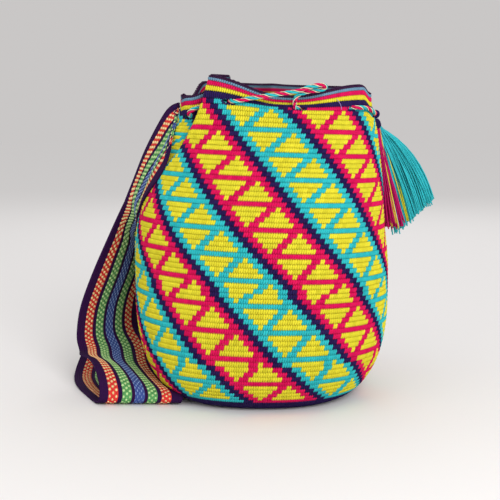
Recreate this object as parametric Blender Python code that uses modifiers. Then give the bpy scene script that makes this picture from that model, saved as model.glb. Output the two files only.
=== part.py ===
"""Crocheted bucket bag with a woven shoulder strap, a laced drawstring and two tassels.

Metres, +Z up. The origin is the middle of the flat base, on the surface that the bag stands on.
The front of the bag faces -Y and +X is its right as seen from the front.
"""
import math

import bmesh
import bpy
import numpy as np
from mathutils import Vector

# Crochet stitches and cloth
ROW = 0.00458              # height of one crochet row
ROWS_PER_RIDGE = 2         # rows that one modelled ridge stands for
RIDGE = 0.0007             # how far a ridge stands out, and its valley in
WALL = 0.0045              # thickness of the crochet
EDGE_ROUND = 0.0015        # rise of the rounded top edge
INSIDE_WIDEN = 0.9         # share of the wall's thickness by which pleats are wider on the inside
RING_STEP = 10             # degrees between the wall's points away from the pleats
PLEAT_POINTS = (-2.6, -1.7, -0.8, 0, 0.8, 1.7, 2.6)    # in each pleat, counted in its half widths
BASE_RINGS = (0.33, 0.66)  # rings of the base, as shares of its radius in from its edge
INSIDE_RINGS = (0.0, 0.007, 0.0135, 0.018, 0.0225, 0.027, 0.033, 0.045, 0.065, 0.090)    # below the rim

# Bag outline
HEIGHT = 0.309             # floor to rim
BASE_RADIUS = 0.068        # flat part that rests on the floor
BELLY_RADIUS = 0.1255      # half width of the filled bag
CORNER_HEIGHT = 0.103      # height at which the rounded bottom corner ends
CORNER_POWER = 2.3         # fullness of the bottom corner
NECK_RADIUS = 0.0975       # half width at the gathered neck
NECK_OFFSET = 0.0185       # how far the neck leans to the bag's right
SHOULDER_RIGHT = 0.184     # height where the right side starts to draw in
SHOULDER_LEFT = 0.144      # height where the left side starts to draw in
BELLY_DEPTH = 0.96         # depth of the belly as a share of its width
NECK_DEPTH = 0.80          # depth of the neck as a share of its width
DEPTH_START = 0.14         # height where the depth starts to change from belly to neck
DEPTH_REACH = 0.13         # height over which it changes
SQUARENESS = 2.25          # 2 is an ellipse, more is squarer
ROW_TILT = math.radians(2.0)     # rows sink to the right by this angle
TILT_REACH = 0.15          # height over which the tilt grows from nothing
LIP_DIP = 0.010            # how far the front lip sags at its middle
LIP_LEAN = 0.012           # how far the sagging lip leans inwards
LIP_AT = 4                 # where the lip sags most, degrees from the front
LIP_SPREAD = 30            # half width of the sag, degrees
LIP_REACH = 0.030          # how far below the rim the sag begins

# Pleats of the neck: middle, depth, half width on the side of the front, half width on the other
PLEATS = ((-57, 0.022, 3.6, 6.5), (113, 0.022, 5.0, 5.0), (181, 0.022, 5.0, 5.0), (221, 0.022, 5.0, 5.0))
PLEAT_START = 0.215        # height where the pleats begin
PLEAT_FULL = 0.292         # height where they are deepest

# Eyelets and drawstring
EYELET_ROW = 4.6           # crochet rows below the rim
EYELET_ANGLES = (104, 78, 45, 10, -26, -48, -67, -130, -148, -170, -188, -238)
EYELET_WIDTH = 0.0125
EYELET_HEIGHT = 0.0066
CORD_DIAMETER = 0.0044
CORD_CLEARANCE = 0.0007    # between the laced cord and the crochet
HOLE_REACH = 0.0055        # from the middle of an eyelet to where the cord turns along the wall
RUN_STEP = 0.0135          # spacing of the cord's points between eyelets

# Slack loop over the front lip: plan angle, depth below the rim, distance off the wall
SLACK_LOOP = (
    (7.5, 0.0132, 0.0),
    (14.0, 0.0095, 0.0),
    (20.0, 0.0088, 0.0),
    (23.0, 0.0062, 0.0028),
    (20.0, 0.0036, 0.0056),
    (14.0, 0.0052, 0.0056),
    (8.0, 0.0098, 0.0045),
    (0.0, 0.0123, 0.0020),
    (-6.0, 0.0141, 0.0010),
    (-12.0, 0.0159, 0.0),
    (-19.0, 0.0185, 0.0),
)
LOOP_AFTER = 3             # eyelet, counted along the cord, after which the slack loop comes

# Shoulder strap
STRAP_WIDTH = 0.080
STRAP_THICKNESS = 0.0025
STRAP_CLEARANCE = 0.0009   # between the strap and the ridges of the crochet

# Tassels
TASSEL_LENGTH = 0.094      # skirt only
HEAD_RADIUS = 0.0050
HEAD_LENGTH = 0.011
GAP = 0.0003               # between pieces that touch

# Each tassel: plan angle of its head, distance off the line of the belly, depth of the head's top
# below the rim, lean to the bag's right in degrees, half width and half depth of the skirt's bottom
TASSELS = {
    "magenta": (116, 0.0045, 0.0355, 9, 0.0110, 0.0105),
    "turquoise": (124, 0.0135, 0.0355, 24, 0.0225, 0.0130),
}
TAIL_RISE = 0.0024         # how far a tail stands above its eyelet before it falls
TAIL_POINTS = (0.25, 0.6)  # the tail's points, as shares of the way from eyelet to tassel
SKIRT_FOLDS = 10           # lengthwise folds of a skirt
SKIRT_RINGS = (0.0, 0.06, 0.2, 0.45, 0.75, 1.0)        # as shares of its length
SKIRT_NECK = 0.7           # half width of a skirt's top as a share of the head's
SKIRT_FLARE = 0.75         # below 1 the skirt widens soonest near its top
FOLD_DEPTH = 0.10          # of a fold, as a share of the skirt's half width
FOLD_START = 0.3           # share of the skirt's length over which the folds deepen

COLOURS = {
    "bag_body": (0.85, 0.70, 0.06),
    "shoulder_strap": (0.04, 0.01, 0.09),
    "drawstring": (0.75, 0.60, 0.45),
    "turquoise": (0.03, 0.42, 0.45),
    "magenta": (0.70, 0.01, 0.12),
    "navy": (0.02, 0.01, 0.07),
}


def start_scene():
    """Remove what the scene holds and make the two collections."""
    for thing in list(bpy.data.objects):
        bpy.data.objects.remove(thing)
    parts = bpy.data.collections.new("mochila_bag")
    cutters = bpy.data.collections.new("cutters")
    for collection in (parts, cutters):
        bpy.context.scene.collection.children.link(collection)
    return parts, cutters


def make_material(name, colour):
    """Matt yarn of one colour."""
    material = bpy.data.materials.new(name)
    material.use_nodes = True
    shader = material.node_tree.nodes["Principled BSDF"]
    shader.inputs["Base Color"].default_value = (*colour, 1)
    shader.inputs["Roughness"].default_value = 0.85
    shader.inputs["Metallic"].default_value = 0.0
    return material


def mesh_object(name, points, faces, collection, colour=None):
    """Object made from points and faces, with smooth shading and one material."""
    mesh = bpy.data.meshes.new(name)
    mesh.from_pydata([tuple(p) for p in points], [], faces)
    mesh.update()
    thing = bpy.data.objects.new(name, mesh)
    collection.objects.link(thing)
    if colour:
        mesh.materials.append(make_material(name, colour))
    mesh.shade_smooth()
    return thing


def smooth(t):
    """Ease from 0 to 1 with level ends."""
    t = np.clip(t, 0, 1)
    return t * t * (3 - 2 * t)


def spline(values, t):
    """Smooth curve through the rows of values, read at t, which counts rows (Catmull-Rom)."""
    values = np.asarray(values, float)
    padded = np.vstack([2 * values[0] - values[1], values, 2 * values[-1] - values[-2]])
    t = np.clip(np.asarray(t, float), 0, len(values) - 1 - 1e-9)
    i = t.astype(int)
    f = (t - i)[:, None]
    a, b, c, d = padded[i], padded[i + 1], padded[i + 2], padded[i + 3]
    return 0.5 * (2 * b + (c - a) * f + (2 * a - 5 * b + 4 * c - d) * f**2
                  + (3 * b - a - 3 * c + d) * f**3)


def side_radius(z, side):
    """Half width of the bag on one side, 1 for the right and -1 for the left, at height z."""
    up = np.clip(1 - z / CORNER_HEIGHT, 0, 1)
    low = BASE_RADIUS + (BELLY_RADIUS - BASE_RADIUS) * (1 - up**CORNER_POWER) ** (1 / CORNER_POWER)
    start = SHOULDER_RIGHT if side > 0 else SHOULDER_LEFT
    neck = NECK_RADIUS + side * NECK_OFFSET
    return low - (BELLY_RADIUS - neck) * smooth((z - start) / (HEIGHT - start))


def wall_heights():
    """Arc length up the wall from the edge of the base, with the height at each length."""
    z = np.concatenate([np.linspace(0, 1, 300) ** 2 * CORNER_HEIGHT,
                        np.linspace(CORNER_HEIGHT, HEIGHT, 300)[1:]])
    radius = (side_radius(z, 1) + side_radius(z, -1)) / 2
    steps = np.hypot(np.diff(z), np.diff(radius))
    return np.concatenate([[0], np.cumsum(steps)]), z


def pleat_pull(degrees, z, widen=0.0):
    """How far the pleats draw the wall inwards, each groove widened by some degrees."""
    pull = np.zeros_like(degrees)
    grow = smooth((z - PLEAT_START) / (PLEAT_FULL - PLEAT_START))
    for middle, depth, front_half, back_half in PLEATS:
        away = (degrees - middle + 180) % 360 - 180
        towards_front = away * np.sign((middle + 180) % 360 - 180) < 0
        half = np.where(towards_front, front_half, back_half) + widen
        pull += depth * grow * np.exp(-(away / half) ** 2)
    return pull


def wall_point(degrees, z, inset=0.0, widen=0.0, rise=0.0):
    """Points of the wall at plan angles from the front, positive to the right, at height z.

    The section is a superellipse of unlike left and right halves. The pleats pull it in, inset
    moves it inwards, and the rim's sag and the rows' tilt move its height.
    """
    degrees = np.asarray(degrees, float)
    angle = np.radians(degrees)
    right = side_radius(z, 1)
    left = side_radius(z, -1)
    middle = (right - left) / 2
    half = (right + left) / 2
    share = BELLY_DEPTH + (NECK_DEPTH - BELLY_DEPTH) * smooth((z - DEPTH_START) / DEPTH_REACH)
    power = 2 / SQUARENESS
    x = half * np.sign(np.sin(angle)) * np.abs(np.sin(angle)) ** power
    y = -half * share * np.sign(np.cos(angle)) * np.abs(np.cos(angle)) ** power
    radius = np.hypot(x, y)
    scale = (radius - pleat_pull(degrees, z, widen) - inset) / radius
    x = middle + x * scale
    y = y * scale
    away = (degrees - LIP_AT + 180) % 360 - 180
    sag = np.exp(-(away / LIP_SPREAD) ** 2) * smooth((z - (HEIGHT - LIP_REACH)) / LIP_REACH)
    height = z + rise - math.tan(ROW_TILT) * x * smooth(z / TILT_REACH) - LIP_DIP * sag
    return np.stack([x, y + LIP_LEAN * sag, height], -1)


def beside_wall(degrees, z, out):
    """Points off the wall by a distance, bridging the pleats."""
    degrees = np.asarray(degrees, float)
    return wall_point(degrees, z, inset=-out - pleat_pull(degrees, z))


def ring_angles():
    """Plan angles of the wall's points: seven in each pleat and even steps elsewhere."""
    angles = []
    for middle, _, front_half, back_half in PLEATS:
        side = np.sign((middle + 180) % 360 - 180)
        for k in PLEAT_POINTS:
            half = front_half if k * side < 0 else back_half
            angles.append((middle + k * half + 180) % 360 - 180)
    for a in np.arange(-180, 180, RING_STEP):
        if min(abs((a - b + 180) % 360 - 180) for b in angles) >= RING_STEP / 2:
            angles.append(a)
    return np.array(sorted(angles))


def inside_widen():
    """Degrees by which a pleat is wider on the inner face of the wall."""
    return math.degrees(WALL / NECK_RADIUS) * INSIDE_WIDEN


def bag_rings():
    """Rings of the bag from the middle of its underside, up the outside and down the inside."""
    angles = ring_angles()
    length, heights = wall_heights()
    rows = length[-1] / ROW
    count = int(rows // ROWS_PER_RIDGE) * 2
    rings = [wall_point(angles, 0.0, inset=k * BASE_RADIUS) for k in (*BASE_RINGS[::-1], 0)]
    for k in range(1, count):
        z = float(np.interp(length[-1] * k / count, length, heights))
        swell = RIDGE if k % 2 else -RIDGE
        swell *= float(smooth(k / 4))
        rings.append(wall_point(angles, z, inset=-swell))
    widen = inside_widen()
    rings.append(wall_point(angles, HEIGHT))
    rings.append(wall_point(angles, HEIGHT, inset=WALL / 2, widen=widen / 2, rise=EDGE_ROUND))
    for below in INSIDE_RINGS:
        rings.append(wall_point(angles, HEIGHT - below, inset=WALL, widen=widen))
    for z in np.linspace(HEIGHT - INSIDE_RINGS[-1], WALL, 8)[1:]:
        rings.append(wall_point(angles, z, inset=WALL, widen=widen))
    rings += [wall_point(angles, WALL, inset=WALL + k * BASE_RADIUS) for k in BASE_RINGS]
    return rings


def add_bag(parts, cutters):
    """The crocheted bag: one loft of rings with a real hollow, cut by its eyelets."""
    rings = bag_rings()
    n = len(rings[0])
    points = [(0, 0, 0)]
    for ring in rings:
        points += [tuple(p) for p in ring]
    points.append((0, 0, WALL))
    faces = [(0, 1 + (i + 1) % n, 1 + i) for i in range(n)]
    for r in range(len(rings) - 1):
        low = 1 + r * n
        high = low + n
        faces += [(low + i, low + (i + 1) % n, high + (i + 1) % n, high + i) for i in range(n)]
    top = 1 + (len(rings) - 1) * n
    faces += [(len(points) - 1, top + i, top + (i + 1) % n) for i in range(n)]
    bag = mesh_object("bag_body", points, faces, parts, COLOURS["bag_body"])
    for k, angle in enumerate(EYELET_ANGLES):
        cutter = eyelet_cutter(k, angle, cutters)
        cut = bag.modifiers.new(f"eyelet_{k}", "BOOLEAN")
        cut.operation = "DIFFERENCE"
        cut.object = cutter
    return bag


def eyelet_height():
    """Height of the eyelet row before the rim's sag and tilt."""
    length, heights = wall_heights()
    return float(np.interp(length[-1] - EYELET_ROW * ROW, length, heights))


def eyelet_frame(angle):
    """Middle of one eyelet in the wall, with the outward and sideways directions there."""
    z = eyelet_height()
    a, b, here = wall_point([angle - 1.5, angle + 1.5, angle], z, inset=WALL / 2)
    side = Vector(b - a).normalized()
    outward = side.cross(Vector((0, 0, 1))).normalized()
    return Vector(here), outward, side


def eyelet_cutter(index, angle, cutters):
    """Oval hole through the wall, as a squashed cylinder along the wall's normal."""
    middle, outward, side = eyelet_frame(angle)
    bm = bmesh.new()
    bmesh.ops.create_cone(bm, cap_ends=True, segments=12, radius1=0.5, radius2=0.5, depth=WALL * 5)
    up = outward.cross(side)
    for v in bm.verts:
        x, y, z = v.co
        v.co = middle + side * (x * EYELET_WIDTH) + up * (y * EYELET_HEIGHT) + outward * z
    mesh = bpy.data.meshes.new(f"eyelet_{index}")
    bm.to_mesh(mesh)
    bm.free()
    cutter = bpy.data.objects.new(f"eyelet_{index}", mesh)
    cutters.objects.link(cutter)
    cutter.hide_render = True
    cutter.display_type = "WIRE"
    return cutter


# Strap stations: left edge (x, y, z), heading of the width at the left and right edge, its rise,
# and the share of the full width where folds draw the strap together
STRAP_STATIONS = (
    (-0.0855, 0.0020, 0.2880, -92, -100, -62, 0.50),
    (-0.0920, -0.0020, 0.2905, -84, -94, -64, 0.66),
    (-0.1000, -0.0020, 0.2840, -76, -86, -66, 0.86),
    (-0.1090, 0.0030, 0.2660, -74, -84, -62, 0.80),
    (-0.1200, 0.0100, 0.2400, -74, -94, -62, 0.66),
    (-0.1320, 0.0190, 0.2100, -50, -80, -76, 0.58),
    (-0.1450, 0.0270, 0.1800, 44, 66, -44, 0.66),
    (-0.1600, 0.0300, 0.1480, 42, 62, -9, 0.88),
    (-0.1760, 0.0290, 0.1120, 36, 60, 0, 1.0),
    (-0.1880, 0.0260, 0.0780, 40, 52, 0, 1.0),
    (-0.1915, 0.0220, 0.0500, 39, 45, 0, 1.0),
    (-0.1880, 0.0140, 0.0370, 28, 28, -2, 1.0),
    (-0.1840, -0.0060, 0.0365, 16, 16, -12, 1.0),
    (-0.1730, -0.0300, 0.0360, 5, 5, -20, 1.0),
    (-0.1630, -0.0520, 0.0310, 0, 0, -19, 1.0),
    (-0.1570, -0.0680, 0.0200, 0, 0, -10, 1.0),
    (-0.1560, -0.0720, 0.0090, 0, 0, -3, 1.0),
    (-0.1600, -0.0630, 0.0027, 0, 0, 0, 1.0),
    (-0.1720, -0.0380, 0.0016, 0, 0, 0, 1.0),
    (-0.1900, 0.0050, 0.0016, 0, 0, 0, 1.0),
    (-0.1990, 0.0500, 0.0040, -6, -6, 0, 1.0),
    (-0.1920, 0.0960, 0.0240, -28, -28, -16, 1.0),
    (-0.1620, 0.1360, 0.0500, -52, -52, -36, 1.0),
    (-0.1150, 0.1620, 0.0620, -72, -72, -48, 1.0),
    (-0.0640, 0.1790, 0.0520, -84, -84, -38, 1.0),
    (-0.0180, 0.1920, 0.0240, -90, -90, -16, 1.0),
    (0.0220, 0.1940, 0.0040, -88, -88, 0, 1.0),
    (0.0500, 0.1800, 0.0100, -76, -76, 0, 1.0),
    (0.0600, 0.1560, 0.0360, -60, -60, 0, 1.0),
    (0.0560, 0.1350, 0.0800, -46, -46, 0, 1.0),
    (0.0520, 0.1240, 0.1300, -38, -38, 0, 1.0),
    (0.0500, 0.1190, 0.1800, -36, -36, 0, 0.95),
    (0.0490, 0.1100, 0.2250, -36, -36, 0, 0.85),
    (0.0480, 0.0960, 0.2650, -36, -36, 0, 0.75),
    (0.0460, 0.0900, 0.2900, -36, -36, 0, 0.70),
)
STRAP_STEPS = 3            # cross-sections for each station
STRAP_LANES = 8            # strips across the width


def strap_grid():
    """Middle surface of the strap: at each station its width runs from the left edge, turning
    from the first heading to the second."""
    stations = np.array(STRAP_STATIONS)
    t = np.linspace(0, len(stations) - 1, (len(stations) - 1) * STRAP_STEPS + 1)
    rows = spline(stations, t)
    share = (np.arange(STRAP_LANES) + 0.5) / STRAP_LANES
    heading = np.radians(rows[:, 3:4] + (rows[:, 4:5] - rows[:, 3:4]) * smooth(share)[None])
    rise = np.radians(rows[:, 5:6]) * np.ones_like(heading)
    step = (STRAP_WIDTH / STRAP_LANES * rows[:, 6])[:, None, None]
    moves = np.stack([np.cos(heading) * np.cos(rise), np.sin(heading) * np.cos(rise), np.sin(rise)], -1)
    start = rows[:, None, :3]
    grid = np.concatenate([start, start + np.cumsum(moves * step, axis=1)], axis=1)
    return pushed_clear(grid, RIDGE + STRAP_CLEARANCE + STRAP_THICKNESS / 2)


def pushed_clear(points, clearance):
    """Points moved away from the wall, in plan, wherever they are nearer to it than clearance."""
    moved = np.array(points, float)
    turns = np.arange(-180, 180, 1.0)
    for p in moved.reshape(-1, 3):
        z = min(max(p[2] + math.tan(ROW_TILT) * p[0] * float(smooth(p[2] / TILT_REACH)), 0), HEIGHT)
        ring = beside_wall(turns, z, 0)[:, :2]
        along = np.roll(ring, -1, axis=0) - np.roll(ring, 1, axis=0)
        outward = np.stack([along[:, 1], -along[:, 0]], -1)
        outward /= np.linalg.norm(outward, axis=1)[:, None]
        k = np.argmin(np.linalg.norm(ring - p[:2], axis=1))
        short = clearance - (p[:2] - ring[k]) @ outward[k]
        if short > 0:
            p[:2] += outward[k] * short
    return moved


def add_strap(parts):
    """The woven strap: an open surface given its thickness."""
    grid = strap_grid()
    n, m = grid.shape[:2]
    faces = [(i * m + j, i * m + j + 1, (i + 1) * m + j + 1, (i + 1) * m + j)
             for i in range(n - 1) for j in range(m - 1)]
    strap = mesh_object("shoulder_strap", grid.reshape(-1, 3), faces, parts, COLOURS["shoulder_strap"])
    solid = strap.modifiers.new("thickness", "SOLIDIFY")
    solid.thickness = STRAP_THICKNESS
    solid.offset = 0
    return strap


def add_tube(name, points, radius, parts, colour, resolution=2):
    """Round tube along a polyline, closed at both ends."""
    curve = bpy.data.curves.new(name, "CURVE")
    curve.dimensions = "3D"
    line = curve.splines.new("POLY")
    line.points.add(len(points) - 1)
    for point, place in zip(line.points, points):
        point.co = (*place, 1)
    curve.bevel_depth = radius
    curve.bevel_resolution = resolution
    curve.use_fill_caps = True
    tube = bpy.data.objects.new(name, curve)
    parts.objects.link(tube)
    curve.materials.append(make_material(name, colour))
    return tube


def tassel_frames():
    """For each tassel: the top of its head and the direction in which it hangs."""
    frames = {}
    belly = BELLY_RADIUS - NECK_RADIUS - NECK_OFFSET
    for name, (angle, out, drop, lean, *_) in TASSELS.items():
        x, y, _ = beside_wall([angle], eyelet_height(), belly + out)[0]
        lean = math.radians(lean)
        frames[name] = Vector((x, y, HEIGHT - drop)), Vector((math.sin(lean), 0, -math.cos(lean)))
    return frames


def lacing():
    """Points of the drawstring: in and out of the eyelets, over the lip and down to the tassels."""
    frames = tassel_frames()
    z = eyelet_height()
    off = WALL / 2 + RIDGE + CORD_CLEARANCE + CORD_DIAMETER / 2
    inside = off + WALL / 2 + CORD_CLEARANCE
    reach = math.degrees(HOLE_REACH / NECK_RADIUS)
    widen = inside_widen()
    points = []
    outside = True
    for k, angle in enumerate(EYELET_ANGLES):
        middle, outward, side = eyelet_frame(angle)
        way = 1 if outside else -1
        front = middle + side * HOLE_REACH * way + outward * off
        back = Vector(wall_point([angle - reach * way], z, inset=inside, widen=widen)[0])
        points += [front, middle, back] if outside else [back, middle, front]
        outside = not outside
        if k == LOOP_AFTER:
            for at, below, out in SLACK_LOOP:
                place = beside_wall([at], z, off - WALL / 2 + out)[0]
                points.append(Vector((place[0], place[1], HEIGHT - below)))
        elif k + 1 < len(EYELET_ANGLES):
            first, last = angle - reach, EYELET_ANGLES[k + 1] + reach
            count = round(math.radians(first - last) * NECK_RADIUS / RUN_STEP)
            for at in np.linspace(first, last, count + 1)[1:-1]:
                if outside:
                    place = beside_wall([at], z, off - WALL / 2)[0]
                else:
                    place = wall_point([at], z, inset=inside, widen=widen)[0]
                points.append(Vector(place))
    start = tail(frames["magenta"], points[0])
    end = tail(frames["turquoise"], points[-1])
    return start[::-1] + points + end


def tail(frame, start):
    """Points from an eyelet to the top of a tassel's head."""
    top, down = frame
    last = top - down * GAP
    above = last - down * CORD_DIAMETER
    near, over = [start.lerp(above, share) for share in TAIL_POINTS]
    near.z = start.z + TAIL_RISE
    over.z = max(start.z, above.z) + TAIL_RISE
    return [near, over, above, last]


def add_tassels(parts):
    """Each tassel: a bound head under the end of the cord and a folded skirt of yarn below it."""
    for name, (top, down) in tassel_frames().items():
        half_width, half_depth = TASSELS[name][4:]
        across = down.cross(Vector((0, 1, 0))).normalized() * -1
        depth = across.cross(down)
        bm = bmesh.new()
        bmesh.ops.create_uvsphere(bm, u_segments=12, v_segments=8, radius=1)
        middle = top + down * HEAD_LENGTH / 2
        for v in bm.verts:
            x, y, height = v.co
            v.co = middle + across * (x * HEAD_RADIUS) + depth * (y * HEAD_RADIUS) \
                - down * (height * HEAD_LENGTH / 2)
        mesh = bpy.data.meshes.new(f"tassel_head_{name}")
        bm.to_mesh(mesh)
        bm.free()
        head = bpy.data.objects.new(f"tassel_head_{name}", mesh)
        mesh.materials.append(make_material(head.name, COLOURS["navy"]))
        mesh.shade_smooth()
        parts.objects.link(head)
        add_skirt(name, top + down * (HEAD_LENGTH + GAP), down, across, depth, half_width, half_depth, parts)


def add_skirt(name, top, down, across, depth, half_width, half_depth, parts):
    """Skirt of yarn that widens downwards, with lengthwise folds, as a loft of rings."""
    n = SKIRT_FOLDS * 2
    turns = np.arange(n) / n * 2 * math.pi
    points = [top]
    for t in SKIRT_RINGS:
        grown = t ** SKIRT_FLARE
        for i, turn in enumerate(turns):
            fold = 1 + (FOLD_DEPTH if i % 2 else -FOLD_DEPTH) * float(smooth(t / FOLD_START))
            wide = HEAD_RADIUS * SKIRT_NECK * (1 - grown) + half_width * grown
            deep = HEAD_RADIUS * SKIRT_NECK * (1 - grown) + half_depth * grown
            points.append(top + down * (TASSEL_LENGTH * t) + across * (math.cos(turn) * wide * fold)
                          + depth * (math.sin(turn) * deep * fold))
    points.append(top + down * TASSEL_LENGTH)
    faces = [(0, 1 + i, 1 + (i + 1) % n) for i in range(n)]
    for r in range(len(SKIRT_RINGS) - 1):
        low = 1 + r * n
        faces += [(low + i, low + n + i, low + n + (i + 1) % n, low + (i + 1) % n) for i in range(n)]
    low = 1 + (len(SKIRT_RINGS) - 1) * n
    faces += [(len(points) - 1, low + (i + 1) % n, low + i) for i in range(n)]
    mesh_object(f"tassel_skirt_{name}", points, faces, parts, COLOURS[name])


def main():
    parts, cutters = start_scene()
    add_bag(parts, cutters)
    add_strap(parts)
    add_tube("drawstring", lacing(), CORD_DIAMETER / 2, parts, COLOURS["drawstring"])
    add_tassels(parts)


main()
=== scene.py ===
"""Crocheted bucket bag with a woven strap: the yarn, weave, cord and tassels laid over the solid model.

Metres, +Z up, the front facing -Y. Every piece stands in its place by its own points.
"""
import math

import bpy
import numpy as np
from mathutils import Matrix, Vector


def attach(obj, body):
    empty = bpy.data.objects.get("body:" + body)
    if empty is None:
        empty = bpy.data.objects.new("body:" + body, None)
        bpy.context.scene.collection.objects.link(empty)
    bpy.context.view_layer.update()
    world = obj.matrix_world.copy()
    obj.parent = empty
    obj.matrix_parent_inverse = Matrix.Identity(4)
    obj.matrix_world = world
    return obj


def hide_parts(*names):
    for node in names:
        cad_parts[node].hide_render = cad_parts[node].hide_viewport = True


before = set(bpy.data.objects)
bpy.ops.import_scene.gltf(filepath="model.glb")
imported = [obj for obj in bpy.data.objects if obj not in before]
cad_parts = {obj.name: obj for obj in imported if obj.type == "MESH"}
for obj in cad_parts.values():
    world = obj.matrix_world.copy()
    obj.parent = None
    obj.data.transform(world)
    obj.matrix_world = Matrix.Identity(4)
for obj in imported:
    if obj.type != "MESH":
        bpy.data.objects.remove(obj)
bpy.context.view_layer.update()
chance = np.random.default_rng(12)

# Bag outline, as in the solid model
ROW = 0.00458
WALL = 0.0045
RIDGE = 0.0007
HEIGHT = 0.309
BASE_RADIUS = 0.068
BELLY_RADIUS = 0.1255
CORNER_HEIGHT = 0.103
CORNER_POWER = 2.3
NECK_RADIUS = 0.0975
NECK_OFFSET = 0.0185
SHOULDER_RIGHT = 0.184
SHOULDER_LEFT = 0.144
BELLY_DEPTH = 0.96
NECK_DEPTH = 0.80
SQUARENESS = 2.25
DEPTH_START = 0.14             # height above which the section flattens towards the neck
DEPTH_REACH = 0.13             # height over which it does
ROW_TILT = math.radians(2.0)
TILT_REACH = 0.15              # height over which the rows' tilt grows
# Where the right side is drawn in: from which height, over what height, how far
RIGHT_TUCKS = ((0.130, 0.060, 0.0045), (0.264, 0.045, 0.0045))
LIP_DIP = 0.0135               # how far the rim sags at the front lip
LIP_LEAN = 0.012               # how far it falls back there
LIP_AT = 4                     # degrees from the front
LIP_SPREAD = 30
LIP_REACH = 0.030              # height over which the lip sags
# Pleats of the neck: middle at the rim, depth, half width on the side of the front, half width on the
# other, and how far the pleat wanders back for each metre down
PLEATS = (
    (-47, 0.030, 3.2, 10.0, 230),
    (113, 0.022, 5.0, 5.0, 0),
    (181, 0.022, 5.0, 5.0, 0),
    (221, 0.022, 5.0, 5.0, 0),
)
# Where the rim sinks, or rises if the depth is negative: middle, half width, depth, height over which
# it does, and flatness of its middle
RIM_DIPS = (
    (-88, 40, 0.0155, 0.09, 1.6),
    (96, 36, 0.0065, 0.09, 1.6),
    (-45, 45, -0.0050, 0.05, 1.0),
    (-64, 18, 0.0050, 0.05, 4.0),
)
PLEAT_START = 0.215            # height at which the pleats begin
PLEAT_FULL = 0.292
GAP = 0.0003                   # between the cord's end and the tassel's head

# Crochet pattern
STITCHES = 192                 # stitches in one round of the wall
STITCH_WIDTH = 0.00443         # width of a stitch at the front
BACK_CROWD = 3                 # power by which stitches crowd towards the back
NARROW_BELOW = 0.31            # half way round the bag below which all stitches narrow
BAND = 16                      # stitches from one dark line to the next
LINE = 2                       # stitches in a dark line
BLOCK = 5                      # rows from one plain bar to the next
RIM_EDGES = (0.0, 0.25, 0.9, 1.9, 2.95, 4.4)     # rows' edges in the rim, counted in row heights
FIRST_BAR = 5                  # row of the topmost plain bar
LAST_ROW = 71                  # last row of the wall before the base
LOW_FROM = 46                  # row from which rows are taller
LOW_ROWS = 1.9                 # row heights gained by those taller rows
PATTERN_START = 20.4           # stitches from the front middle to a dark line at the rim, to the left
LEAN_ROWS = (0, 8, 20, 30, 40, 46, 54, 62, 75)
LEAN = (-0.3, 0.1, 0.5, 0.3, 0.1, -0.4, -0.5, 0.7, 0.7)     # stitches by which the lines bow to the right
LAST_PATTERN = 65              # row of the lowest plain bar
TRIANGLES = (2, 12)            # stitches of a band, after its dark line, between which its triangles lie
TRIANGLE_WIDE = 9              # stitches of a triangle at the plain bar, with two fewer in each row below


def linear(red, green, blue):
    """Colour written as 0 to 255 on a screen, as linear light."""
    c = np.array([red, green, blue]) / 255
    return tuple(np.where(c <= 0.04045, c / 12.92, ((c + 0.055) / 1.055) ** 2.4).tolist())


YARN = {
    "yellow": linear(230, 219, 48),
    "magenta": linear(222, 0, 88),
    "turquoise": linear(44, 190, 196),
    "navy": linear(34, 10, 78),
    "plum": linear(58, 22, 62),
    "grey_blue": linear(112, 152, 178),
}
YARN_ORDER = list(YARN)
# The first two navy rounds are the bag's own navy row; the navy of the rounds below them is painted shade
# under the bottom corner
BASE_ROUNDS = ("navy",) * 6 + ("magenta",) * 2    # yarns of the rounds below the pattern


def smooth(t):
    """Ease from 0 to 1 with level ends: 3t^2 - 2t^3."""
    t = np.clip(t, 0, 1)
    return t * t * (3 - 2 * t)


def unit(v):
    """Vectors at length one."""
    return v / np.maximum(np.linalg.norm(v, axis=-1, keepdims=True), 1e-12)


def wrapped(value, whole=360):
    """Value brought within half a round of zero. A round is 360 degrees, or all its stitches."""
    return (value + whole / 2) % whole - whole / 2


def circle(count):
    """Angles of evenly spaced points round a circle."""
    return np.arange(count) / count * 2 * np.pi


def turned(first, second, angle):
    """Direction turned by an angle from the first of two crossing directions towards the second."""
    return first * np.cos(angle) + second * np.sin(angle)


def length_along(points):
    """Length of a path up to each of its points."""
    return np.concatenate([[0], np.cumsum(np.linalg.norm(np.diff(points, axis=0), axis=1))])


def joined(groups):
    """Arrays of the same kind put together, from groups that hold one of each kind."""
    return [np.concatenate(arrays) for arrays in zip(*groups)]


def spline(values, t):
    """Smooth curve through the rows of values, read at t, which counts rows (Catmull-Rom)."""
    values = np.asarray(values, float)
    padded = np.concatenate([[2 * values[0] - values[1]], values, [2 * values[-1] - values[-2]]])
    t = np.clip(np.asarray(t, float), 0, len(values) - 1 - 1e-9)
    i = t.astype(int)
    f = (t - i).reshape((-1,) + (1,) * (values.ndim - 1))
    a, b, c, d = padded[i], padded[i + 1], padded[i + 2], padded[i + 3]
    return 0.5 * (2 * b + (c - a) * f + (2 * a - 5 * b + 4 * c - d) * f**2
                  + (3 * b - a - 3 * c + d) * f**3)


def new_object(name, data):
    """Object of a mesh, a camera or a lamp, in the scene."""
    thing = bpy.data.objects.new(name, data)
    bpy.context.scene.collection.objects.link(thing)
    return thing


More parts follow.
